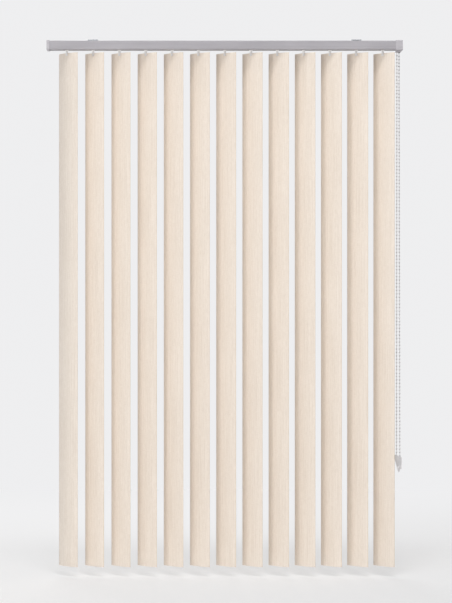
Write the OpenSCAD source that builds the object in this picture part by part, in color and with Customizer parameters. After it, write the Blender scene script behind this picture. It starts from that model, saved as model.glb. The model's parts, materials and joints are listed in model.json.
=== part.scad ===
// Vertical blind with a ceiling headrail, bowed slats on geared carriers, a fluted tilt rod
// and an endless bead chain. X runs along the rail, Y from front to back and Z up.
// The origin lies between the two bracket screws on the ceiling, above the line of the hooks.

/* [Slats] */
// Number of slats
slat_count = 13; // [4:1:13]
// Spacing of the slats when they are drawn out
slat_pitch = 80; // [78:1:84]
// Width of a slat, straight across from edge to edge
slat_w = 89; // [84:0.5:92]
// Length of a slat
slat_l = 1560; // [600:10:2400]
// Thickness of a slat
slat_t = 0.8; // [0.5:0.1:1]
// Rise of the slat's bow over its width
slat_bow = 6; // [4:0.5:7]
// Turn of the slats as shown, from flat along the rail
slat_turn = -47.5; // [-90:0.5:-20]
// Gap between the rail's underside and the slats
slat_gap = 9; // [8:0.5:14]
// Width of the hanging slot near the top of a slat
slot_w = 12; // [10:0.5:16]
// Height of the hanging slot
slot_h = 4.4; // [4:0.2:6]
// Height of the slat left above the hanging slot
slot_drop = 3.4; // [2.5:0.1:6]

/* [Headrail] */
// Height of the rail
rail_h = 27; // [27:0.5:32]
// Depth of the rail from front to back
rail_d = 46; // [45:0.5:54]
// Wall of the rail
rail_wall = 1.4; // [1.2:0.1:1.6]
// Outer corner radius of the rail
rail_round = 3; // [2:0.5:4]
// Width of the slot under the rail
rail_slot = 18; // [16:0.5:20]
// Height of the lips beside that slot
lip_h = 2; // [1:0.5:2.5]
// Rail beyond the first slat
rail_lead = 52; // [48:1:80]
// Rail beyond the last slat
rail_tail = 39; // [30:1:60]
// Width of the bracket channel on top of the rail
clip_w = 28; // [26:0.5:30]
// Mouth of the bracket channel
clip_mouth = 22; // [20:0.5:23]
// Depth of the bracket channel
clip_depth = 3.6; // [3.4:0.1:4.2]

/* [Brackets] */
// Gap between the ceiling and the rail
bracket_lift = 4; // [3.5:0.5:8]
// Sheet thickness of a bracket
bracket_t = 1.6; // [1.2:0.1:2]
// Length of a bracket along the rail
bracket_l = 30; // [20:1:40]
// How far a bracket's plate reaches past the channel at each side
bracket_edge = 2; // [1:0.5:4]
// Distance between the two bracket screws
bracket_span = 800; // [300:10:900]
// Diameter of the screw hole
screw_d = 4.5; // [3.5:0.1:5]

/* [Ends] */
// Width of the control housing
housing_w = 21; // [21:0.5:26]
// Width of the return cap
cap_w = 8; // [7:0.5:12]
// How far the ends stand proud of the rail
cap_proud = 1.5; // [0.5:0.1:2]
// Length of the cheeks that plug into the rail
plug_l = 6; // [4:0.5:10]
// Rim round the recessed panel on the outside of an end
panel_rim = 4; // [3:0.5:6]
// Depth of that panel
panel_depth = 0.8; // [0.4:0.1:1.2]
// Height of the chain guide under the housing
guide_h = 4; // [3:0.5:6]
// How far the guide's outer side spreads towards the housing
guide_splay = 3; // [1:0.5:4]
// Wall of the moulded pieces
mould_wall = 1.4; // [1.2:0.1:1.6]

/* [Tilt drive] */
// Depth of the rod's axis below the rail's top
drive_drop = 15.5; // [15.3:0.1:15.7]
// Diameter of the tilt rod
rod_d = 4.8; // [4.4:0.1:5]
// Number of flutes along the rod
flute_count = 3; // [2:1:4]
// Radius of a flute
flute_r = 0.6; // [0.5:0.05:0.7]
// Teeth on the hook's gear
gear_teeth = 12; // [11:1:13]
// Height of a tooth beyond the pitch line
gear_addendum = 0.5; // [0.4:0.05:0.5]
// Width of a tooth at its tip
tooth_tip = 0.56; // [0.4:0.02:0.6]
// Width of a tooth at its foot
tooth_foot = 1.36; // [1.2:0.02:1.4]
// Height of the gear
gear_h = 2.6; // [2:0.1:2.8]
// Axial pitch of the worm's thread
worm_lead = 2.67; // [2.66:0.01:2.68]
// Root diameter of the worm
worm_root_d = 6.6; // [6.4:0.1:6.6]
// Outside diameter of the worm
worm_d = 9.8; // [9.6:0.1:9.8]
// Threaded length of the worm
thread_l = 8; // [7.6:0.2:8.4]
// Width of the thread at its crest
thread_crest = 0.5; // [0.4:0.05:0.55]
// Diameter of the worm's collars
collar_d = 8.8; // [8:0.2:9]
// Width of a collar
collar_w = 0.8; // [0.6:0.1:1]
// Width of the worm's two bearings in the carrier
bearing_w = 1.9; // [1.6:0.1:1.9]
// Diameter of the hook's stem
stem_d = 5; // [4.4:0.1:5.2]

/* [Carriers] */
// Length of a carrier along the rail
carrier_l = 15; // [15:0.5:16]
// Gap between carriers when they are stacked
stack_gap = 1; // [1:0.25:2]
// Diameter of a carrier wheel
wheel_d = 6.4; // [5.6:0.2:6.8]
// Width of a carrier wheel
wheel_w = 3.2; // [2.4:0.2:3.6]
// Width of a spacer strip
spacer_w = 7; // [5:0.5:7.5]
// Thickness of a spacer strip
spacer_t = 0.3; // [0.2:0.05:0.35]
// Length of a strip's root in its own carrier
spacer_root = 2.5; // [2:0.25:3.5]
// Place of the strips, in front of the hooks' line
spacer_y = -2; // [-2.5:0.5:-1]
// Clearance of the strips at the sides and the foot of their window
strip_gap = 0.6; // [0.4:0.1:0.8]

/* [Hooks] */
// Diameter of the flare under the rail
flare_d = 10.4; // [8:0.2:12]
// Height of the flare
flare_h = 4.2; // [3:0.2:5]
// Height of the clip's head above the slat
clip_rise = 2.4; // [1.6:0.2:3]
// Width of the clip
clip_finger_w = 6.7; // [5:0.1:7]
// Thickness of one finger of the clip
clip_finger_t = 1.3; // [1:0.1:1.6]
// How far the clip reaches down the slat
clip_reach = 8.5; // [8:0.5:11]
// Width of a finger at its tip
finger_tip_w = 4.4; // [3:0.2:5]
// Height over which a finger tapers
finger_taper = 3; // [1:0.5:4]
// Width of the peg that carries the slat
peg_w = 4.4; // [3:0.2:5]
// Height of that peg
peg_h = 2.6; // [2:0.1:3.4]

/* [Chain] */
// Diameter of a bead
bead_d = 5; // [4.4:0.1:5]
// Spacing of the beads
bead_pitch = 10.5; // [10.2:0.1:10.6]
// Diameter of the cord between the beads
link_d = 1.6; // [1.2:0.1:1.8]
// Pockets around the sprocket
pocket_count = 5; // [5:1:6]
// Width of the sprocket
sprocket_w = 9; // [8:0.2:9.6]
// Spacing of the two strands where they leave the guide
strand_gap = 7.6; // [7:0.1:8]
// Diameter of the chain's turn in the tensioner
turn_d = 9.9; // [9:0.1:11]
// Height of the chain's turn below the ceiling
turn_drop = 1272; // [400:1:1500]

/* [Tensioner] */
// Depth of the tensioner from front to back
tensioner_d = 11; // [10.5:0.5:12]
// Width of the tensioner
tensioner_w = 21; // [20.5:0.5:23]
// Height of the tensioner's tall side above the chain's turn
tensioner_rise = 12; // [10:0.5:16]
// Height of the tensioner below the chain's turn
tensioner_fall = 41; // [38:1:50]
// Radius of the foot's tip
foot_r = 2.6; // [2.2:0.1:3]
// Lean of the foot towards the laddered column
foot_lean = 3; // [0:0.5:4]
// Width of the laddered column at one side
column_w = 7.6; // [6.5:0.1:8]
// Height of that column above the chain's turn
column_rise = 5.5; // [4:0.5:8]
// Height of that column below the chain's turn
column_fall = 33; // [30:0.5:35]
// How far the column lies behind the shell's face
column_step = 0.8; // [0.4:0.1:1]
// Corner radius of the column and edge of the shell's top
column_round = 2; // [1:0.5:2.5]
// Slots in the column
rung_count = 4; // [2:1:4]
// Spacing of the slots
rung_pitch = 9.2; // [8:0.2:9.4]
// Width of a slot
rung_w = 5.4; // [4:0.2:5.6]
// Height of a slot
rung_h = 1.8; // [1.2:0.2:2.4]
// Depth of a slot
rung_depth = 2; // [1:0.2:2.4]
// Depth of the split line below the chain's turn
split_drop = 10; // [9:0.5:14]
// Width and depth of the split line
split_w = 0.8; // [0.4:0.1:1]
// Diameter of the screw hole
fixing_d = 4; // [3:0.1:4.4]
// Depth of the screw hole below the chain's turn
fixing_drop = 26; // [22:0.5:27]

/* [Clearances] */
// Running clearance of shafts, on the radius
run_fit = 0.08; // [0.04:0.01:0.1]
// Play at the ends of a worm
end_play = 0.2; // [0.15:0.05:0.3]
// Clearance between pieces that pass each other
free_gap = 0.3; // [0.3:0.05:0.4]
// Clearance between pieces that are fitted together
seat_gap = 0.12; // [0.08:0.01:0.15]
// Clearance of the chain in its guide, drum and tensioner
chain_gap = 0.6; // [0.4:0.05:0.7]

/* [Hidden] */
$fn = 48;
// Extra length of a cut, overlap of joined pieces, and step between joined faces
cut = 1;
bite = 0.3;
knit = 0.02;
// Facets of the thread and of a bead's outline
thread_steps_a_turn = 10;
thread_corners = 9;
bead_steps = 6;

rail_top = -bracket_lift;
rail_bottom = rail_top - rail_h;
rail_floor = rail_bottom + rail_wall;
inner_round = rail_round - rail_wall / 2;
first_x = -slat_pitch * (slat_count - 1) / 2;
last_x = -first_x;
rail_x0 = first_x - rail_lead;
rail_x1 = last_x + rail_tail;
clip_floor = rail_top - clip_depth;
clip_under = clip_floor - rail_wall;
end_d = rail_d + 2 * cap_proud;
end_h = rail_h + 2 * cap_proud;
end_bottom = rail_bottom - cap_proud;
cap_x0 = rail_x0 - cap_w;
housing_x1 = rail_x1 + housing_w;

pitch_r = worm_lead * gear_teeth / (2 * PI);
gear_tip_r = pitch_r + gear_addendum;
worm_r = worm_d / 2;
worm_root_r = worm_root_d / 2;
drive_y = gear_tip_r + free_gap + worm_root_r;
drive_z = rail_top - drive_drop;
gear_root_r = drive_y - worm_r - free_gap;
rod_r = rod_d / 2;
rod_x0 = rail_x0 - cap_w / 2;
rod_x1 = housing_x1 - cap_w / 2;
stem_r = stem_d / 2;
flank_angle = 20;

stack_pitch = carrier_l + stack_gap;
carrier_top = clip_under - 2 * free_gap;
chamber_r = gear_tip_r + free_gap;
chamber_h = gear_h + 2 * free_gap;
barrel_bore_r = worm_r + free_gap;
barrel_r = barrel_bore_r + mould_wall;
neck_r = stem_r + 2 * mould_wall;
neck_bottom = rail_bottom + free_gap;
wheel_r = wheel_d / 2;
wheel_z = rail_floor + free_gap + wheel_r;
axle_r = wheel_r - lip_h;
wheel_x = carrier_l / 2 - wheel_r - free_gap;
wheel_y = rail_slot / 2 + rail_wall + 2 * mould_wall;
core_front = -chamber_r - 1.5 * mould_wall;
core_back = drive_y - mould_wall;
core_bottom = wheel_z;
spacer_reach = slat_pitch + (carrier_l + stack_gap) / 2;
spacer_levels = floor((spacer_reach + carrier_l / 2) / stack_pitch) + 1;
spacer_step = spacer_t + free_gap + seat_gap;
window_w = spacer_w + 2 * strip_gap;
window_top = carrier_top - mould_wall;
window_floor = drive_z + chamber_h / 2 + mould_wall;

slat_top = rail_bottom - slat_gap;
bow_r = (slat_w * slat_w / 4 + slat_bow * slat_bow) / (2 * slat_bow);
bow_angle = 2 * asin(slat_w / 2 / bow_r);
slot_top = slat_top - slot_drop;
finger_in = slat_t / 2 + seat_gap;
finger_out = finger_in + clip_finger_t;
finger_tip = slat_top - clip_reach;
clip_head = slat_top + clip_rise;
flare_top = rail_bottom - free_gap;

bead_r = bead_d / 2;
link_r = link_d / 2;
sprocket_r = pocket_count * bead_pitch / (2 * PI);
hub_r = rod_r + mould_wall;
drum_r = sprocket_r + bead_r + chain_gap;
drum_w = sprocket_w + 2 * chain_gap;
guide_w = strand_gap + bead_d + 2 * chain_gap;
guide_bottom = end_bottom - guide_h;
chain_x = rail_x1 + mould_wall + guide_w / 2;
turn_r = turn_d / 2;
turn_z = -turn_drop;

function two(i) = str(i < 10 ? "0" : "", i);
function slat_x(i) = first_x + (i - 1) * slat_pitch;

// A rectangle with round corners, from its lower left corner
module round_rect(w, h, r) {
    translate([r, 0]) square([w - 2 * r, h]);
    translate([0, r]) square([w, h - 2 * r]);
    for (x = [r, w - r], y = [r, h - r])
        translate([x, y]) circle(r);
}

// A slot with round ends, centred
module stadium(w, h) {
    square([w - h, h], center = true);
    for (side = [-1, 1])
        translate([side * (w - h) / 2, 0]) circle(h / 2);
}

// A large and a small circle, one below the other, with the straight sides that touch both
module teardrop(r1, r2, d) {
    lean = asin((r1 - r2) / d);
    circle(r1);
    translate([0, -d]) circle(r2);
    polygon([
        [-r1 * cos(lean), -r1 * sin(lean)],
        [-r2 * cos(lean), -d - r2 * sin(lean)],
        [r2 * cos(lean), -d - r2 * sin(lean)],
        [r1 * cos(lean), -r1 * sin(lean)]
    ]);
}

// A profile drawn in Y and Z, carried along X
module along_x(x, l) {
    translate([x, 0, 0]) rotate([90, 0, 90]) linear_extrude(l) children();
}

// A profile drawn in X and Z, carried along Y
module along_y(y, l) {
    translate([0, y + l, 0]) rotate([90, 0, 0]) linear_extrude(l) children();
}

// A round bar along X
module bar_x(x, l, r, y, z) {
    translate([x, y, z]) rotate([0, 90, 0]) cylinder(r = r, h = l);
}

// A round bar along Y
module bar_y(y, l, r, x, z) {
    translate([x, y, z]) rotate([-90, 0, 0]) cylinder(r = r, h = l);
}

// The rail's section: a box with a slot below and a lipped bracket channel on top
module rail_section() {
    difference() {
        translate([-rail_d / 2, rail_bottom]) round_rect(rail_d, rail_h, rail_round);
        difference() {
            translate([-rail_d / 2 + rail_wall, rail_floor])
                round_rect(rail_d - 2 * rail_wall, rail_h - 2 * rail_wall, inner_round);
            translate([-clip_w / 2 - rail_wall, clip_under])
                square([clip_w + 2 * rail_wall, rail_h]);
            for (side = [-1, 1])
                translate([side * (rail_slot / 2 + rail_wall / 2) - rail_wall / 2, rail_bottom])
                    square([rail_wall, rail_wall + lip_h]);
        }
        translate([-rail_slot / 2, rail_bottom - cut]) square([rail_slot, rail_wall + lip_h + 2 * cut]);
        translate([-clip_w / 2, clip_floor]) square([clip_w, clip_depth - rail_wall]);
        translate([-clip_mouth / 2, clip_floor]) square([clip_mouth, clip_depth + cut]);
    }
}

module headrail() {
    color("#c6c3c8")
        along_x(rail_x0, rail_x1 - rail_x0) rail_section();
}

// The two cheeks by which an end fits into the rail
module plug_cheeks(x) {
    cheek_in = clip_w / 2 + rail_wall + seat_gap;
    cheek_out = rail_d / 2 - rail_wall - seat_gap;
    along_x(x, plug_l)
        for (side = [0, 1])
            mirror([side, 0])
                translate([cheek_in, rail_floor + seat_gap])
                    round_rect(cheek_out - cheek_in, clip_under - rail_floor - 2 * seat_gap, inner_round);
}

// The outline of an end, drawn in by a rim
module end_section(rim) {
    translate([rim - end_d / 2, end_bottom + rim])
        round_rect(end_d - 2 * rim, end_h - 2 * rim, rail_round);
}

// The end's rounded block with a shallow panel on its outside, from x on
module end_block(x, w, panel_x) {
    difference() {
        along_x(x, w) end_section(0);
        along_x(panel_x, panel_depth + cut) end_section(panel_rim);
    }
}

module return_cap() {
    color("#eceae7") {
        difference() {
            union() {
                end_block(cap_x0, cap_w, cap_x0 - cut);
                bar_x(rail_x0 - cut, plug_l + cut, rod_r + run_fit + mould_wall, drive_y, drive_z);
            }
            bar_x(rod_x0 - free_gap, cap_w + plug_l, rod_r + run_fit, drive_y, drive_z);
        }
        plug_cheeks(rail_x0);
    }
}

// The chain drum and its throat are open below, and the hub runs in the two side walls
module control_housing() {
    throat_y = drive_y - drum_r;
    color("#eceae7") {
        difference() {
            union() {
                end_block(rail_x1, housing_w, housing_x1 - panel_depth);
                along_y(throat_y - mould_wall, 2 * (drum_r + mould_wall))
                    polygon([
                        [rail_x1, end_bottom + cut],
                        [rail_x1, guide_bottom],
                        [chain_x + guide_w / 2 + mould_wall, guide_bottom],
                        [chain_x + guide_w / 2 + mould_wall + guide_splay, end_bottom + cut]
                    ]);
            }
            bar_x(chain_x - drum_w / 2, drum_w, drum_r, drive_y, drive_z);
            bar_x(rail_x1 - cut, rod_x1 - rail_x1 + cut + free_gap, hub_r + run_fit, drive_y, drive_z);
            translate([chain_x - guide_w / 2, throat_y, guide_bottom - cut])
                cube([guide_w, 2 * drum_r, drive_z - guide_bottom + cut]);
        }
        plug_cheeks(rail_x1 - plug_l);
    }
}

// Two clips that hang in the ceiling screws and hook under the lips of the rail's channel
module brackets() {
    plate_d = clip_w + 2 * bracket_edge;
    leg_y = clip_mouth / 2 - seat_gap;
    color("#b9bbbd")
        for (side = [-1, 1])
            translate([side * bracket_span / 2 - bracket_l / 2, 0, 0])
                difference() {
                    along_x(0, bracket_l)
                        for (turn = [0, 1])
                            mirror([turn, 0]) {
                                translate([0, -bracket_t]) square([plate_d / 2, bracket_t]);
                                translate([leg_y - bracket_t, clip_floor + seat_gap])
                                    square([bracket_t, -clip_floor - seat_gap]);
                                translate([leg_y - bracket_t, clip_floor + seat_gap])
                                    square([clip_w / 2 - leg_y + bracket_t - free_gap,
                                        clip_depth - rail_wall - seat_gap]);
                            }
                    translate([bracket_l / 2, 0, -bracket_t - cut])
                        cylinder(d = screw_d, h = bracket_t + 2 * cut);
                }
}

// Flutes or keys around the rod's axis, as round bars along X
module flutes(x, l, r) {
    for (k = [0 : flute_count - 1])
        rotate([k * 360 / flute_count, 0, 0])
            bar_x(x, l, r, 0, rod_r);
}

// The hole that slides on the fluted rod: a bore with a key in each flute
module keyed_bore(x, l) {
    difference() {
        bar_x(x, l, rod_r + run_fit, 0, 0);
        flutes(x - cut, l + 2 * cut, flute_r - run_fit);
    }
}

module tilt_rod() {
    color("#c9cbcc")
        translate([0, drive_y, drive_z])
            difference() {
                bar_x(rod_x0, rod_x1 - rod_x0, rod_r, 0, 0);
                flutes(rod_x0 - cut, rod_x1 - rod_x0 + 2 * cut, flute_r);
            }
}

module sprocket() {
    hub_x = rail_x1 + free_gap;
    color("#dddcd8")
        translate([0, drive_y, drive_z])
            difference() {
                union() {
                    bar_x(chain_x - sprocket_w / 2, sprocket_w, sprocket_r, 0, 0);
                    bar_x(hub_x, rod_x1 - hub_x, hub_r, 0, 0);
                }
                translate([chain_x, 0, 0]) rotate([0, 90, 0])
                    rotate_extrude()
                        translate([sprocket_r - link_r - free_gap, -bead_r])
                            square([sprocket_r, 2 * bead_r]);
                for (k = [0 : pocket_count - 1])
                    rotate([k * 360 / pocket_count, 0, 0])
                        translate([chain_x, 0, sprocket_r]) sphere(bead_r + free_gap);
                keyed_bore(hub_x - cut, rod_x1 - hub_x + 2 * cut);
            }
}

// Corners of the chain's route: down the front of the sprocket, round the tensioner, up behind it
front_y = drive_y - sprocket_r;
back_y = drive_y + sprocket_r;
front_top = [chain_x, front_y, drive_z];
front_exit = [chain_x - strand_gap / 2, front_y, guide_bottom];
front_turn = [chain_x - turn_r, 0, turn_z];
back_turn = [chain_x + turn_r, 0, turn_z];
back_exit = [chain_x + strand_gap / 2, back_y, guide_bottom];
back_top = [chain_x, back_y, drive_z];

// Length along the chain at which each stretch begins, from the top of the sprocket
quarter = PI * sprocket_r / 2;
at_front_top = quarter;
at_front_exit = at_front_top + norm(front_exit - front_top);
at_front_turn = at_front_exit + norm(front_turn - front_exit);
at_back_turn = at_front_turn + PI * turn_r;
at_back_exit = at_back_turn + norm(back_exit - back_turn);
at_back_top = at_back_exit + norm(back_top - back_exit);
chain_l = at_back_top + quarter;
bead_count = round(chain_l / bead_pitch);
bead_step = chain_l / bead_count;

// Outline of one bead, from its lower to its upper waist on the cord, at height z
bead_lean = asin(link_r / bead_r);
function bead_outline(z) = [
    for (k = [0 : bead_steps])
        let (a = -90 + bead_lean + k * (180 - 2 * bead_lean) / bead_steps)
        [bead_r * cos(a), z + bead_r * sin(a)]
];

// One straight stretch of chain that starts s along the loop
module chain_run(from, to, s) {
    v = to - from;
    l = norm(v);
    first = ceil((s + bead_r) / bead_step);
    last = floor((s + l - bead_r) / bead_step);
    edge = [for (i = [first : last]) each bead_outline(i * bead_step - s)];
    translate(from)
        rotate([0, acos(v.z / l), atan2(v.y, v.x)])
            rotate_extrude()
                polygon(concat([[0, 0], [link_r, 0]], edge, [[link_r, l], [0, l]]));
}

// Beads that lie on a bend, or too near its end to belong to a straight stretch
function on_run(s, from, to) = s - bead_r >= from && s + bead_r <= to;
function between(from, to, at) = from + (to - from) * at;
function chain_point(s) =
    s < at_front_top ? [chain_x, drive_y - sprocket_r * sin(90 * s / quarter),
        drive_z + sprocket_r * cos(90 * s / quarter)]
    : s < at_front_exit
        ? between(front_top, front_exit, (s - at_front_top) / (at_front_exit - at_front_top))
    : s < at_front_turn
        ? between(front_exit, front_turn, (s - at_front_exit) / (at_front_turn - at_front_exit))
    : s < at_back_turn
        ? let (a = 180 * (s - at_front_turn) / (at_back_turn - at_front_turn))
            [chain_x - turn_r * cos(a), 0, turn_z - turn_r * sin(a)]
    : s < at_back_exit
        ? between(back_turn, back_exit, (s - at_back_turn) / (at_back_exit - at_back_turn))
    : s < at_back_top
        ? between(back_exit, back_top, (s - at_back_exit) / (at_back_top - at_back_exit))
    : let (a = 90 * (chain_l - s) / quarter)
        [chain_x, drive_y + sprocket_r * sin(a), drive_z + sprocket_r * cos(a)];

module chain() {
    bend_r = link_r - knit;
    color("#e6e6e2") {
        chain_run(front_top, front_exit, at_front_top);
        chain_run(front_exit, front_turn, at_front_exit);
        chain_run(back_turn, back_exit, at_back_turn);
        chain_run(back_exit, back_top, at_back_exit);
        for (corner = [front_top, front_exit, front_turn, back_turn, back_exit, back_top])
            translate(corner) sphere(link_r + 2 * knit);
        translate([chain_x, drive_y, drive_z]) rotate([90, 0, 90])
            rotate_extrude(angle = 180) translate([sprocket_r, 0]) circle(bend_r);
        translate([chain_x, 0, turn_z]) rotate([-90, 0, 0])
            rotate_extrude(angle = 180) translate([turn_r, 0]) circle(bend_r);
        for (i = [0 : bead_count - 1]) {
            s = i * bead_step;
            free = on_run(s, at_front_top, at_front_exit) || on_run(s, at_front_exit, at_front_turn)
                || on_run(s, at_back_turn, at_back_exit) || on_run(s, at_back_exit, at_back_top);
            if (!free) translate(chain_point(s)) sphere(bead_r);
        }
    }
}

// The tensioner's outline: a leaning drop, a shell with a sloping top above it and a column at its side
module tensioner_outline() {
    shell_r = tensioner_w / 2;
    difference() {
        rotate(foot_lean) teardrop(shell_r, foot_r, tensioner_fall - foot_r);
        translate([-shell_r, column_round]) square([tensioner_w, shell_r]);
    }
    polygon([
        [-shell_r, 0],
        [-shell_r, tensioner_rise - column_round],
        [-shell_r + column_round, tensioner_rise],
        [shell_r - column_w, column_rise],
        [shell_r - column_w, 0]
    ]);
    translate([0, -column_fall]) round_rect(shell_r, column_fall + column_rise, column_round);
}

// A split shell with a laddered column, a post for the chain's turn and a foot for one screw
module tensioner() {
    shell_r = tensioner_w / 2;
    column_x = shell_r - column_w;
    tensioner_h = tensioner_rise + tensioner_fall;
    face_y = -tensioner_d / 2;
    inner_r = turn_r + bead_r + chain_gap;
    inner_d = bead_d + 2 * chain_gap;
    color("#e9e8e4")
        translate([chain_x, 0, turn_z]) {
            difference() {
                along_y(face_y, tensioner_d) tensioner_outline();
                for (side = [0, 1])
                    mirror([0, side, 0]) {
                        translate([column_x, face_y - cut, -tensioner_fall - cut])
                            cube([column_w + cut, column_step + cut, tensioner_h + 2 * cut]);
                        translate([-shell_r - cut, face_y - cut, -split_drop])
                            cube([tensioner_w - column_w + cut, split_w + cut, split_w]);
                    }
                for (k = [0 : rung_count - 1])
                    translate([column_x + (column_w - rung_w) / 2, face_y, -rung_h - k * rung_pitch])
                        cube([rung_w, column_step + rung_depth, rung_h]);
                bar_y(-inner_d / 2, inner_d, inner_r, 0, 0);
                translate([-inner_r, -inner_d / 2, 0]) cube([2 * inner_r, inner_d, tensioner_rise + cut]);
                bar_y(-tensioner_d, 2 * tensioner_d, fixing_d / 2, 0, -fixing_drop);
            }
            bar_y(-inner_d / 2 - cut, inner_d + 2 * cut, turn_r - bead_r - seat_gap, 0, 0);
        }
}

// The strip that draws the next carrier along; each lies on its own level and they nest in a stack
module spacer(i) {
    level = window_floor + strip_gap + spacer_step * (i % spacer_levels);
    root_x = carrier_l / 2 - spacer_root;
    translate([root_x, spacer_y - spacer_w / 2, level])
        cube([spacer_reach - root_x, spacer_w, spacer_t]);
    translate([root_x, spacer_y - window_w / 2 - 2 * bite, level])
        cube([spacer_root, window_w / 2, spacer_t]);
}

// A trolley with a gear chamber round the hook, a worm barrel behind it and four wheels
module carrier(i) {
    color("#dcdad5")
        translate([slat_x(i), 0, 0]) {
            difference() {
                union() {
                    translate([-carrier_l / 2, core_front, core_bottom])
                        cube([carrier_l, core_back - core_front, carrier_top - core_bottom]);
                    bar_x(-carrier_l / 2, carrier_l, barrel_r, drive_y, drive_z);
                    translate([0, 0, neck_bottom]) cylinder(r = neck_r, h = drive_z - neck_bottom);
                    for (x = [-wheel_x, wheel_x]) {
                        bar_y(-wheel_y - cut, 2 * wheel_y + 2 * cut, axle_r, x, wheel_z);
                        for (y = [-wheel_y - wheel_w, wheel_y])
                            bar_y(y, wheel_w, wheel_r, x, wheel_z);
                    }
                }
                translate([0, 0, drive_z - chamber_h / 2]) cylinder(r = chamber_r, h = chamber_h);
                bar_x(-carrier_l / 2 + bearing_w, carrier_l - 2 * bearing_w, barrel_bore_r, drive_y, drive_z);
                bar_x(-carrier_l / 2 - cut, carrier_l + 2 * cut, worm_root_r + run_fit, drive_y, drive_z);
                translate([0, 0, neck_bottom - cut])
                    cylinder(r = stem_r + run_fit, h = drive_z - neck_bottom + cut);
                translate([-carrier_l / 2 - cut, spacer_y - window_w / 2, window_floor])
                    cube([carrier_l + 2 * cut, window_w, window_top - window_floor]);
                translate([-thread_l / 2, drive_y, drive_z])
                    cube([thread_l, barrel_r + cut, barrel_r + cut]);
            }
            if (i < slat_count) spacer(i);
        }
}

// Half the thread's thickness along the axis, at radius r
function thread_half(r) = thread_crest / 2 + (worm_r - r) * tan(flank_angle);
function thread_angle(r) = 360 * thread_half(r) / worm_lead;
function on_thread(r, side) = [r * cos(side * thread_angle(r)), r * sin(side * thread_angle(r))];

// One start of thread on a core with a collar and a journal at each end, keyed to the rod
module worm(i) {
    mid_r = (worm_r + worm_root_r) / 2;
    low_r = worm_root_r - bite;
    core_l = carrier_l - 2 * end_play;
    collar_x = carrier_l / 2 - bearing_w - end_play - collar_w;
    turns = thread_l / worm_lead;
    color("#cfcac0")
        translate([slat_x(i), drive_y, drive_z])
            difference() {
                union() {
                    bar_x(-core_l / 2, core_l, worm_root_r, 0, 0);
                    for (x = [-collar_x - collar_w, collar_x])
                        bar_x(x, collar_w, collar_d / 2, 0, 0);
                    rotate([0, 90, 0])
                        rotate([0, 0, 90])
                            linear_extrude(thread_l, center = true, twist = -360 * turns,
                                slices = ceil(turns * thread_steps_a_turn), segments = thread_corners)
                                rotate([0, 0, 180 * turns])
                                    polygon([
                                        on_thread(low_r, -1), on_thread(mid_r, -1), on_thread(worm_r, -1),
                                        [worm_r, 0],
                                        on_thread(worm_r, 1), on_thread(mid_r, 1), on_thread(low_r, 1),
                                        [-low_r, low_r / 2], [-low_r, -low_r / 2]
                                    ]);
                }
                keyed_bore(-carrier_l / 2 - cut, carrier_l + 2 * cut);
            }
}

// One finger of the clip, tapered to its tip
module clip_finger() {
    polygon([
        [-clip_finger_w / 2, clip_head],
        [-clip_finger_w / 2, finger_tip + finger_taper],
        [-finger_tip_w / 2, finger_tip],
        [finger_tip_w / 2, finger_tip],
        [clip_finger_w / 2, finger_tip + finger_taper],
        [clip_finger_w / 2, clip_head]
    ]);
}

// A toothed wheel, a flared stem and a two-finger clip with a peg through the slat's slot
module hook(i) {
    tooth_r = gear_root_r - bite;
    color("#f0efec")
        translate([slat_x(i), 0, 0]) {
            translate([0, 0, drive_z - gear_h / 2]) {
                cylinder(r = gear_root_r, h = gear_h);
                linear_extrude(gear_h)
                    for (k = [0 : gear_teeth - 1])
                        rotate(90 + k * 360 / gear_teeth)
                            polygon([
                                [tooth_r, -tooth_foot / 2], [gear_tip_r, -tooth_tip / 2],
                                [gear_tip_r, tooth_tip / 2], [tooth_r, tooth_foot / 2]
                            ]);
            }
            translate([0, 0, clip_head]) cylinder(r = stem_r, h = drive_z - clip_head);
            translate([0, 0, flare_top - flare_h])
                cylinder(r1 = stem_r - bite, r2 = flare_d / 2, h = flare_h);
            rotate(slat_turn) {
                translate([-clip_finger_w / 2, -finger_out, clip_head])
                    cube([clip_finger_w, 2 * finger_out, stem_r]);
                for (y = [-finger_out, finger_in])
                    along_y(y, clip_finger_t) clip_finger();
                translate([-peg_w / 2, -finger_in, slot_top - peg_h])
                    cube([peg_w, 2 * finger_in, peg_h - seat_gap]);
            }
        }
}

// A bowed sheet with its hanging slot, the hollow side away from the front
module slat(i) {
    color("#e4d8ca")
        translate([slat_x(i), 0, 0])
            rotate(slat_turn)
                difference() {
                    translate([0, bow_r, slat_top - slat_l])
                        rotate(-90 - bow_angle / 2)
                            rotate_extrude(angle = bow_angle)
                                translate([bow_r - slat_t / 2, 0]) square([slat_t, slat_l]);
                    translate([0, 0, slot_top - slot_h / 2])
                        rotate([90, 0, 0])
                            linear_extrude(4 * slat_t, center = true) stadium(slot_w, slot_h);
                }
}

headrail();
control_housing();
return_cap();
brackets();
tilt_rod();
sprocket();
chain();
tensioner();
for (i = [1 : slat_count]) {
    carrier(i);
    worm(i);
    hook(i);
    slat(i);
}
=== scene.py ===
"""A vertical blind dressed for its picture: linen slats, a painted rail, white mouldings and a bead chain.

Lengths are metres in the blind's own frame: X along the rail, Y from front to back, Z up. Colours are red,
green and blue from 0 to 255, as a screen shows them, unless a line says that they are light.
"""
import json
import math

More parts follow.
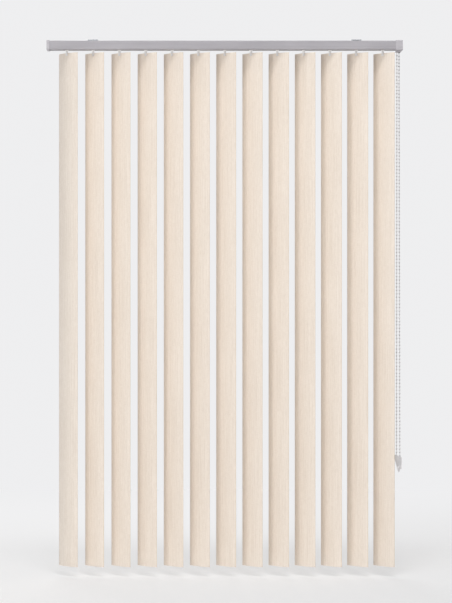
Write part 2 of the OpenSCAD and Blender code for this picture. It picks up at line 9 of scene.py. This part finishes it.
import bpy
import numpy as np
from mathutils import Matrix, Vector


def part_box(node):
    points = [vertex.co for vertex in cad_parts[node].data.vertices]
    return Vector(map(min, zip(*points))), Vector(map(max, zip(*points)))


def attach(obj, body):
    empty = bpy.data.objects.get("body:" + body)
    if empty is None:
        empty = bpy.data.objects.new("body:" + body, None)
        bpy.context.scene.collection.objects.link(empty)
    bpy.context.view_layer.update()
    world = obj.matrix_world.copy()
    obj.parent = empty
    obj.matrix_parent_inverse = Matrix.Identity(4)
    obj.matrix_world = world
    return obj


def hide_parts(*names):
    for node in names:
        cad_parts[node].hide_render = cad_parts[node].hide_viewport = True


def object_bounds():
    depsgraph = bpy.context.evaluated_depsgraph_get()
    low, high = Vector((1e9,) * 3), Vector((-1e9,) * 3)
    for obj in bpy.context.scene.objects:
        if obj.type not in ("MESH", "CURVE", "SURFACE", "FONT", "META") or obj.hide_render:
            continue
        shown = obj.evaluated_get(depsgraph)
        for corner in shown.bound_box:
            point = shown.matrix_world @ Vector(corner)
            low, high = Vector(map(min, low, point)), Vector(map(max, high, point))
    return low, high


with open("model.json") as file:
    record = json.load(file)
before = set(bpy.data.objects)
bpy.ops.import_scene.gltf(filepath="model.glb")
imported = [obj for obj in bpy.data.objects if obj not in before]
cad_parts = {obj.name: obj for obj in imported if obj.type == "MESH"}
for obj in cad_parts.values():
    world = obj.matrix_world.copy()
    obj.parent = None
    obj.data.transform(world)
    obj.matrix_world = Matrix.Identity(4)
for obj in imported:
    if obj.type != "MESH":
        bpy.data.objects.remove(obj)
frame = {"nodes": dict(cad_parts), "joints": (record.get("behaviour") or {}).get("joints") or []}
solid_low, solid_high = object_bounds()
nodes = frame["nodes"]
turns_at = {joint["child"]: joint["pos_m"][0] for joint in frame["joints"] if joint["type"] == "hinge"}
slat_numbers = sorted(int(name.removeprefix("slat_")) for name in nodes if name.startswith("slat_"))

# Picture: its size, where the rail lies in it, and the camera
PICTURE_WIDE = 452
PICTURE_HIGH = 603
METRES_A_PIXEL = 0.00304
RAIL_MIDDLE_PIXEL = 224.7
RAIL_TOP_PIXEL = 41.3
CAMERA_DISTANCE = 7.5
SENSOR_MM = 36.0

# Studio: SURROUND is light, and each lamp has its place, the point it faces, its side and its watts
FLOOR_GAP = 0.03
FLOOR_REACH = 40.0
FLOOR_COLOUR = (240, 240, 240)
FLOOR_FADE_START = 0.7
FLOOR_FADE_END = 3.5
FLOOR_LEAST_WHITE = 0.45
SURROUND = (0.86, 0.86, 0.87, 1.0)
SURROUND_LIGHT = 0.3
LAMP_TINT = (1.0, 0.995, 0.99)
LAMPS = {
    "high": ((0.2, -3.0, 4.9), (0, 0, -0.5), 1.6, 160),
    "front": ((-2.6, -4.8, -0.4), (0, 0, -1.0), 2.4, 92),
    "fill": ((2.4, -4.6, -0.6), (0.3, 0, -1.0), 1.6, 28),
    "back": ((-1.2, 4.2, 1.4), (0, 0, -0.8), 2.6, 105),
}

# Slats
SLAT_WIDTH = 0.089
SLAT_BOW = 0.006
SLAT_THICK = 0.0008
SLAT_TURN = math.radians(-47.5)
SLOT_WIDTH = 0.012
SLOT_HEIGHT = 0.0044
SLOT_DROP = 0.0034
RIM = SLAT_THICK / 2
BOW_RADIUS = (SLAT_WIDTH ** 2 / 4 + SLAT_BOW ** 2) / (2 * SLAT_BOW)
SLAT_ARC = 2 * BOW_RADIUS * math.asin(SLAT_WIDTH / 2 / BOW_RADIUS)

# Slat grid: how many lines it has beside, round and below the slot, and how the rings lie round the slot
SIDE_COLUMNS = 10
BLOCK_COLUMNS = 13
BLOCK_ROWS = 9
LONG_ROWS = 53
BLOCK_HALF = 0.75 * SLOT_WIDTH
BLOCK_TOP_GAP = SLOT_DROP / 4
RING_SHARES = (0.4, 0.75, 1.0)
RIM_ANGLES = (-60, -30, 0, 30, 60)
SHARP_FROM = math.radians(40)
LEAST = 1e-9

# Linen: its colours, the line along its cut edges, and how far the pattern moves from slat to slat
LINEN_DULL = (230, 218, 205)
LINEN_PALE = (244, 234, 223)
EDGE_COLOUR = (206, 181, 156)
EDGE_LINE_INNER = SLAT_ARC / 2 - 0.0020
EDGE_LINE_OUTER = SLAT_ARC / 2 - 0.0005
EDGE_LINE_SHARE = 0.6
PATTERN_SHIFT = 2.3


def numbered(piece, number):
    """The name of one of the repeated pieces, such as slat_03."""
    return f"{piece}_{number:02d}"


# Meshes

def put_mesh(name, points, faces, uv):
    """A mesh object from whole arrays: points (n, 3), four-cornered faces (m, 4) and a place on the map for
    each point (n, 2)."""
    mesh = bpy.data.meshes.new(name)
    mesh.from_pydata(points.tolist(), [], faces.tolist())
    mesh.update()
    mesh.polygons.foreach_set("use_smooth", np.ones(len(mesh.polygons), bool))
    mesh.set_sharp_from_angle(angle=SHARP_FROM)
    corner_point = np.empty(len(mesh.loops), np.int32)
    mesh.loops.foreach_get("vertex_index", corner_point)
    layer = mesh.uv_layers.new(name="weave")
    layer.uv.foreach_set("vector", uv[corner_point].astype(np.float32).ravel())
    piece = bpy.data.objects.new(name, mesh)
    bpy.context.scene.collection.objects.link(piece)
    return piece


def strip_faces(first, second):
    """The four-cornered faces of a closed band between two rings of point numbers."""
    first_next = np.roll(first, -1)
    second_next = np.roll(second, -1)
    return np.stack([first, first_next, second_next, second], axis=1)


def slot_edge(angle):
    """Where a ray from the slot's middle meets its outline: on a straight side where the side reaches
    that far, and otherwise on the half circle at that end."""
    radius = SLOT_HEIGHT / 2
    half_straight = SLOT_WIDTH / 2 - radius
    across, up = np.cos(angle), np.sin(angle)
    to_side = radius / np.maximum(np.abs(up), LEAST)
    reach = half_straight * np.abs(across)
    to_end = reach + np.sqrt(np.maximum(reach ** 2 - half_straight ** 2 + radius ** 2, 0))
    distance = np.where(to_side * np.abs(across) <= half_straight, to_side, to_end)
    return distance * across, distance * up


def bent(arc, depth):
    """A point at a place along the bow and a depth through the sheet lies on a circle about the bow's
    middle, whose radius is the bow's less the depth."""
    radius = BOW_RADIUS - depth
    angle = arc / BOW_RADIUS
    return radius * np.sin(angle), BOW_RADIUS - radius * np.cos(angle)


def slat_sheet(low, high):
    """One face of a slat as a flat sheet: a grid of places along the bow and heights, with the block of
    cells round the slot swapped for rings that go evenly from the block's edge to the slot's outline.
    Gives the places, the faces, the ring of numbers round the outer edge and the ring round the slot."""
    slot_middle = high - SLOT_DROP - SLOT_HEIGHT / 2
    block_low = slot_middle - SLOT_HEIGHT
    block_high = high - RIM - BLOCK_TOP_GAP
    side_columns = np.linspace(BLOCK_HALF, SLAT_ARC / 2 - RIM, SIDE_COLUMNS)
    block_columns = np.linspace(-BLOCK_HALF, BLOCK_HALF, BLOCK_COLUMNS)[1:-1]
    columns = np.concatenate([-side_columns[::-1], block_columns, side_columns])
    long_rows = np.linspace(low + RIM, block_low, LONG_ROWS)[:-1]
    block_rows = np.linspace(block_low, block_high, BLOCK_ROWS)
    rows = np.concatenate([long_rows, block_rows, [high - RIM]])
    arc, height = np.meshgrid(columns, rows)
    number = np.arange(arc.size).reshape(arc.shape)
    left, right = SIDE_COLUMNS - 1, len(columns) - SIDE_COLUMNS
    lower, upper = len(long_rows), len(rows) - 2

    quads = np.stack([number[:-1, :-1], number[:-1, 1:], number[1:, 1:], number[1:, :-1]], axis=2)
    solid = np.ones(quads.shape[:2], bool)
    solid[lower:upper, left:right] = False
    faces = [quads[solid]]

    block = np.concatenate([
        number[lower, left:right], number[lower:upper, right],
        number[upper, right:left:-1], number[upper:lower:-1, left],
    ])
    block_arc, block_height = arc.ravel()[block], height.ravel()[block]
    slot_arc, slot_up = slot_edge(np.arctan2(block_height - slot_middle, block_arc))
    share = np.array(RING_SHARES)[:, None]
    ring_arc = block_arc + share * (slot_arc - block_arc)
    ring_height = block_height + share * (slot_middle + slot_up - block_height)
    rings = arc.size + np.arange(ring_arc.size).reshape(ring_arc.shape)
    for outside, inside in zip([block, *rings], rings):
        faces.append(strip_faces(outside, inside))

    edge = np.concatenate([number[0, :-1], number[:-1, -1], number[-1, :0:-1], number[:0:-1, 0]])
    places = np.stack([np.append(arc, ring_arc), np.append(height, ring_height)], axis=1)
    return places, np.concatenate(faces), edge, rings[-1]


def slat(number):
    """A bowed slat: its front and back sheets, half a circle carried round the outer edge and a straight
    wall round the slot, all bent onto the bow, turned about the hook and hung under it."""
    name = numbered("slat", number)
    body = numbered("vane", number)
    low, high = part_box(name)
    places, faces, edge, slot = slat_sheet(low.z, high.z)
    count = len(places)

    middle = (places[edge].max(0) + places[edge].min(0)) / 2
    reach = (places[edge].max(0) - places[edge].min(0)) / 2
    from_middle = places[edge] - middle
    outward = np.where(np.abs(from_middle) > reach - RIM / 2, np.sign(from_middle), 0)
    angle = np.radians(RIM_ANGLES)[:, None]
    round_places = places[edge] + RIM * np.cos(angle)[..., None] * outward
    round_depth = np.broadcast_to(RIM * np.sin(angle), round_places.shape[:2])
    round_rings = 2 * count + np.arange(round_depth.size).reshape(round_depth.shape)

    arc = np.concatenate([places[:, 0], places[:, 0], round_places[..., 0].ravel()])
    height = np.concatenate([places[:, 1], places[:, 1], round_places[..., 1].ravel()])
    depth = np.concatenate([np.full(count, -RIM), np.full(count, RIM), round_depth.ravel()])
    across, back = bent(arc, depth)
    points = np.stack([
        turns_at[body] + across * math.cos(SLAT_TURN) - back * math.sin(SLAT_TURN),
        across * math.sin(SLAT_TURN) + back * math.cos(SLAT_TURN),
        height,
    ], axis=1)

    bands = [edge, *round_rings, edge + count]
    walls = [faces, faces[:, ::-1] + count, strip_faces(slot, slot + count)]
    walls += [strip_faces(second, first) for first, second in zip(bands, bands[1:])]
    uv = np.stack([arc, height + number * PATTERN_SHIFT], axis=1)
    piece = put_mesh(name + "_linen", points, np.concatenate(walls), uv)
    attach(piece, body)
    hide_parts(name)
    return piece


# Shader nodes

def linear(red, green, blue):
    """A screen's colour as the light that a shader takes, by the screen's curve: a short straight line from
    black, and a power above it."""
    share = np.array([red, green, blue]) / 255
    light = np.where(share <= 0.04045, share / 12.92, ((share + 0.055) / 1.055) ** 2.4)
    return (*light.tolist(), 1.0)


def new_finish(name, **shader_values):
    """A material and its shader, with the values that are the same all over set on the shader itself."""
    finish = bpy.data.materials.new(name)
    finish.use_nodes = True
    shader = finish.node_tree.nodes["Principled BSDF"]
    for socket, value in shader_values.items():
        shader.inputs[socket.replace("_", " ")].default_value = value
    return finish, finish.node_tree, shader


def add(tree, kind, inputs, **settings):
    """One node: inputs are plain values or other nodes' outputs, and settings are the node's own choices."""
    node = tree.nodes.new("ShaderNode" + kind)
    for key, value in settings.items():
        setattr(node, key, value)
    for key, value in inputs.items():
        if isinstance(value, bpy.types.NodeSocket):
            tree.links.new(value, node.inputs[key])
        else:
            node.inputs[key].default_value = value
    return node


def on_object(tree):
    """Places in the blind's own frame."""
    return add(tree, "TexCoord", {}).outputs["Object"]


def grain(tree, place, cells_a_metre, detail=2.0):
    """Noise with that many cells a metre along each axis, so that few cells along an axis draw long fibres
    that way."""
    stretched = add(tree, "Mapping", {"Vector": place, "Scale": cells_a_metre})
    noise = add(tree, "TexNoise", {"Vector": stretched.outputs["Vector"], "Scale": 1.0, "Detail": detail})
    return noise.outputs["Fac"]


def calc(tree, operation, first, second=0.0):
    """One sum on one or two values."""
    return add(tree, "Math", {0: first, 1: second}, operation=operation).outputs[0]


def weighted(tree, parts):
    """The sum of values, each times its weight."""
    total = None
    for value, weight in parts:
        scaled = calc(tree, "MULTIPLY", value, weight)
        total = scaled if total is None else calc(tree, "ADD", total, scaled)
    return total


def ramp(tree, value, low, high, to_low=0.0, to_high=1.0):
    """A value eased from to_low to to_high as it goes from low to high."""
    eased = add(tree, "MapRange", {"Value": value, "From Min": low, "From Max": high,
                                   "To Min": to_low, "To Max": to_high},
                interpolation_type="SMOOTHSTEP")
    return eased.outputs["Result"]


def mixed(tree, share, first, second):
    """Two colours mixed by a share."""
    mix = add(tree, "Mix", {0: share, 6: first, 7: second}, data_type="RGBA")
    return mix.outputs[2]


def tinted(tree, tone, low, high, dull, pale):
    """A colour eased from dull to pale as the tone goes from low to high."""
    return mixed(tree, ramp(tree, tone, low, high), linear(*dull), linear(*pale))


def relief(tree, height, depth, strength):
    """Surface relief from a height, depth metres deep."""
    bump = add(tree, "Bump", {"Height": height, "Strength": strength, "Distance": depth})
    return bump.outputs["Normal"]


def dress(tree, shader, colour, roughness, normal):
    """Joins a finish's colour, roughness and relief to its shader."""
    tree.links.new(colour, shader.inputs["Base Color"])
    tree.links.new(roughness, shader.inputs["Roughness"])
    tree.links.new(normal, shader.inputs["Normal"])


# Finishes

def linen_finish():
    """Cream linen on a stiff sheet: long streaks, slubs and fine threads down the slat, short threads across
    it, a soft cloudy tint, and a warmer line along the cut edges."""
    finish, tree, shader = new_finish("slat_linen", Sheen_Weight=0.12, Sheen_Roughness=0.45,
                                      Specular_IOR_Level=0.35)
    place = add(tree, "UVMap", {}, uv_map="weave").outputs["UV"]
    streak = grain(tree, place, (430, 5, 1))
    slub = grain(tree, place, (330, 42, 1), detail=3.0)
    warp = grain(tree, place, (1300, 70, 1))
    weft = grain(tree, place, (60, 1000, 1))
    cloud = grain(tree, place, (14, 5, 1), detail=1.0)
    thread = weighted(tree, [(streak, 0.32), (slub, 0.18), (warp, 0.26), (weft, 0.18), (cloud, 0.06)])
    colour = tinted(tree, thread, 0.38, 0.62, LINEN_DULL, LINEN_PALE)
    across = calc(tree, "ABSOLUTE", add(tree, "SeparateXYZ", {0: place}).outputs["X"])
    edge = ramp(tree, across, EDGE_LINE_INNER, EDGE_LINE_OUTER, to_high=EDGE_LINE_SHARE)
    colour = mixed(tree, edge, colour, linear(*EDGE_COLOUR))
    roughness = ramp(tree, thread, 0.35, 0.65, to_low=0.72, to_high=0.56)
    height = weighted(tree, [(streak, 0.25), (slub, 0.3), (warp, 0.5), (weft, 0.35)])
    dress(tree, shader, colour, roughness, relief(tree, height, depth=0.0004, strength=0.5))
    return finish


def rail_finish():
    """White paint on drawn metal, greyed as painted shade: faint lines along the rail, soft clouds of tint,
    and a fine skin.
    """
    finish, tree, shader = new_finish("rail_paint", Specular_IOR_Level=0.45)
    place = on_object(tree)
    drawn = grain(tree, place, (2.5, 900, 900))
    skin = grain(tree, place, (420, 420, 420))
    cloud = grain(tree, place, (6, 30, 30))
    tone = weighted(tree, [(drawn, 0.45), (cloud, 0.55)])
    # Painted shade: the white rail's colour is darkened to these pale greys.
    colour = tinted(tree, tone, 0.34, 0.66, dull=(162, 159, 164), pale=(176, 173, 178))
    roughness = ramp(tree, tone, 0.3, 0.7, to_low=0.34, to_high=0.46)
    height = weighted(tree, [(drawn, 0.6), (skin, 0.4)])
    dress(tree, shader, colour, roughness, relief(tree, height, depth=0.00012, strength=0.4))
    return finish


def moulding(name, pale, dull, roughness, pebble=1800):
    """Moulded plastic: a cloudy tint between two close colours, a finely pebbled skin and uneven gloss about
    a middle roughness."""
    finish, tree, shader = new_finish(name, Specular_IOR_Level=0.5)
    place = on_object(tree)
    cloud = grain(tree, place, (60, 60, 45), detail=3.0)
    skin = grain(tree, place, (pebble,) * 3)
    flow = grain(tree, place, (220, 220, 60))
    tone = weighted(tree, [(cloud, 0.6), (flow, 0.4)])
    colour = tinted(tree, tone, 0.32, 0.68, dull, pale)
    uneven = ramp(tree, tone, 0.3, 0.7, to_low=roughness + 0.08, to_high=roughness - 0.05)
    height = weighted(tree, [(skin, 0.7), (flow, 0.3)])
    dress(tree, shader, colour, uneven, relief(tree, height, depth=0.00008, strength=0.35))
    return finish


def rod_finish():
    """Drawn aluminium: bright lines along the rod, broken by dull patches where the worms slide."""
    finish, tree, shader = new_finish("rod_metal", Metallic=1.0)
    place = on_object(tree)
    drawn = grain(tree, place, (4, 3000, 3000))
    patch = grain(tree, place, (25, 120, 120), detail=3.0)
    tone = weighted(tree, [(drawn, 0.55), (patch, 0.45)])
    colour = tinted(tree, tone, 0.35, 0.65, dull=(182, 184, 187), pale=(224, 226, 228))
    roughness = ramp(tree, tone, 0.3, 0.7, to_low=0.44, to_high=0.26)
    dress(tree, shader, colour, roughness, relief(tree, drawn, depth=0.00005, strength=0.3))
    return finish


def zinc_finish():
    """Zinc-coated sheet steel: leaf-like spangles of slightly different grey, with a rolled grain."""
    finish, tree, shader = new_finish("bracket_zinc", Metallic=1.0)
    place = on_object(tree)
    spangle = add(tree, "TexVoronoi", {"Vector": place, "Scale": 260.0}).outputs["Color"]
    leaf = add(tree, "SeparateXYZ", {0: spangle}).outputs["X"]
    rolled = grain(tree, place, (900, 40, 900))
    tone = weighted(tree, [(leaf, 0.6), (rolled, 0.4)])
    colour = tinted(tree, tone, 0.15, 0.85, dull=(160, 163, 167), pale=(208, 211, 214))
    roughness = ramp(tree, tone, 0.1, 0.9, to_low=0.5, to_high=0.32)
    dress(tree, shader, colour, roughness, relief(tree, rolled, depth=0.00006, strength=0.3))
    return finish


def finish_nodes():
    """Gives every solid that shows as it is its own finish, by the kind of piece that its name says."""
    # Painted shade: the white end mouldings are darkened to the rail's shaded grey.
    shaded_ends = moulding("end_moulding_shaded", (189, 186, 191), (177, 174, 179), 0.36)
    finishes = {
        "headrail": rail_finish(),
        "control_housing": shaded_ends,
        "return_cap": shaded_ends,
        "tensioner": moulding("white_moulding", (220, 219, 221), (207, 206, 208), 0.36),
        "brackets": zinc_finish(),
        "tilt_rod": rod_finish(),
        "sprocket": moulding("wheel_plastic", (226, 225, 220), (212, 210, 204), 0.4),
        "chain": moulding("bead_plastic", (212, 211, 213), (198, 197, 199), 0.3, pebble=2600),
        "carrier": moulding("carrier_plastic", (226, 224, 219), (210, 207, 201), 0.42),
        "worm": moulding("worm_plastic", (214, 209, 199), (198, 192, 181), 0.34),
        "hook": moulding("hook_plastic", (240, 239, 239), (228, 227, 227), 0.33),
    }
    for name, node in nodes.items():
        kind = name.rstrip("0123456789").rstrip("_")
        if kind in finishes:
            node.data.materials.clear()
            node.data.materials.append(finishes[kind])


# Studio

def soft_lamp(name, place, aim, side, watts):
    """A square soft lamp at a place, facing a point."""
    lamp = bpy.data.lights.new(name, "AREA")
    lamp.shape = "SQUARE"
    lamp.size = side
    lamp.energy = watts
    lamp.color = LAMP_TINT
    stand = bpy.data.objects.new(name, lamp)
    stand.location = place
    direction = np.array(aim, float) - np.array(place, float)
    turn_z = math.atan2(direction[1], direction[0]) - math.pi / 2
    turn_x = math.atan2(math.hypot(direction[0], direction[1]), -direction[2])
    stand.rotation_euler = (turn_x, 0, turn_z)
    bpy.context.scene.collection.objects.link(stand)


def seen_directly(tree):
    """1 for what the camera sees itself, in a reflection or through glass, and 0 for light that falls on
    things."""
    path = add(tree, "LightPath", {})
    seen = calc(tree, "MAXIMUM", path.outputs["Is Camera Ray"], path.outputs["Is Glossy Ray"])
    return calc(tree, "MAXIMUM", seen, path.outputs["Is Transmission Ray"])


def white_surround():
    """A white surround to look at, with a softer even light from all round."""
    world = bpy.data.worlds.new("surround")
    world.use_nodes = True
    tree = world.node_tree
    tree.nodes.clear()
    light = add(tree, "Background", {"Color": (1.0, 1.0, 1.0, 1.0), "Strength": SURROUND_LIGHT})
    white = add(tree, "Background", {"Color": SURROUND, "Strength": 1.0})
    both = add(tree, "MixShader", {0: seen_directly(tree), 1: light.outputs[0], 2: white.outputs[0]})
    add(tree, "OutputWorld", {"Surface": both.outputs[0]})
    bpy.context.scene.world = world


def pale_floor():
    """A flat pale floor just under the slats, which goes over to white away from the blind."""
    reach = np.array([-FLOOR_REACH, FLOOR_REACH])
    across, back = (side.ravel() for side in np.meshgrid(reach, reach))
    points = np.stack([across, back, np.full(4, solid_low.z - FLOOR_GAP)], axis=1)
    piece = put_mesh("floor", points, np.array([[0, 1, 3, 2]]), points[:, :2])
    finish, tree, shader = new_finish("floor_pale", Roughness=0.9, Base_Color=linear(*FLOOR_COLOUR))
    spread = add(tree, "VectorMath", {0: on_object(tree), 1: (0, 0, points[0, 2])}, operation="DISTANCE")
    away = ramp(tree, spread.outputs["Value"], FLOOR_FADE_START, FLOOR_FADE_END, to_low=FLOOR_LEAST_WHITE)
    glow = add(tree, "Emission", {"Color": SURROUND, "Strength": 1.0})
    share = calc(tree, "MULTIPLY", away, seen_directly(tree))
    both = add(tree, "MixShader", {0: share, 1: shader.outputs[0], 2: glow.outputs[0]})
    tree.links.new(both.outputs[0], tree.nodes["Material Output"].inputs["Surface"])
    piece.data.materials.append(finish)


def camera():
    """A level camera straight in front, whose picture has the rail where the photograph has it."""
    lens = bpy.data.cameras.new("camera")
    lens.sensor_fit = "VERTICAL"
    lens.sensor_height = SENSOR_MM
    lens.lens = SENSOR_MM * CAMERA_DISTANCE / (PICTURE_HIGH * METRES_A_PIXEL)
    lens.clip_end = 2 * FLOOR_REACH
    stand = bpy.data.objects.new("camera", lens)
    rail_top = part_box("headrail")[1].z
    stand.location = (
        (PICTURE_WIDE / 2 - RAIL_MIDDLE_PIXEL) * METRES_A_PIXEL,
        -CAMERA_DISTANCE,
        rail_top - (PICTURE_HIGH / 2 - RAIL_TOP_PIXEL) * METRES_A_PIXEL,
    )
    stand.rotation_euler = (math.pi / 2, 0, 0)
    bpy.context.scene.collection.objects.link(stand)
    bpy.context.scene.camera = stand


linen = linen_finish()
for number in slat_numbers:
    slat(number).data.materials.append(linen)
finish_nodes()

camera()
pale_floor()
white_surround()
for name, (place, aim, side, watts) in LAMPS.items():
    soft_lamp(name, place, aim, side, watts)
bpy.context.scene.view_settings.view_transform = "Standard"
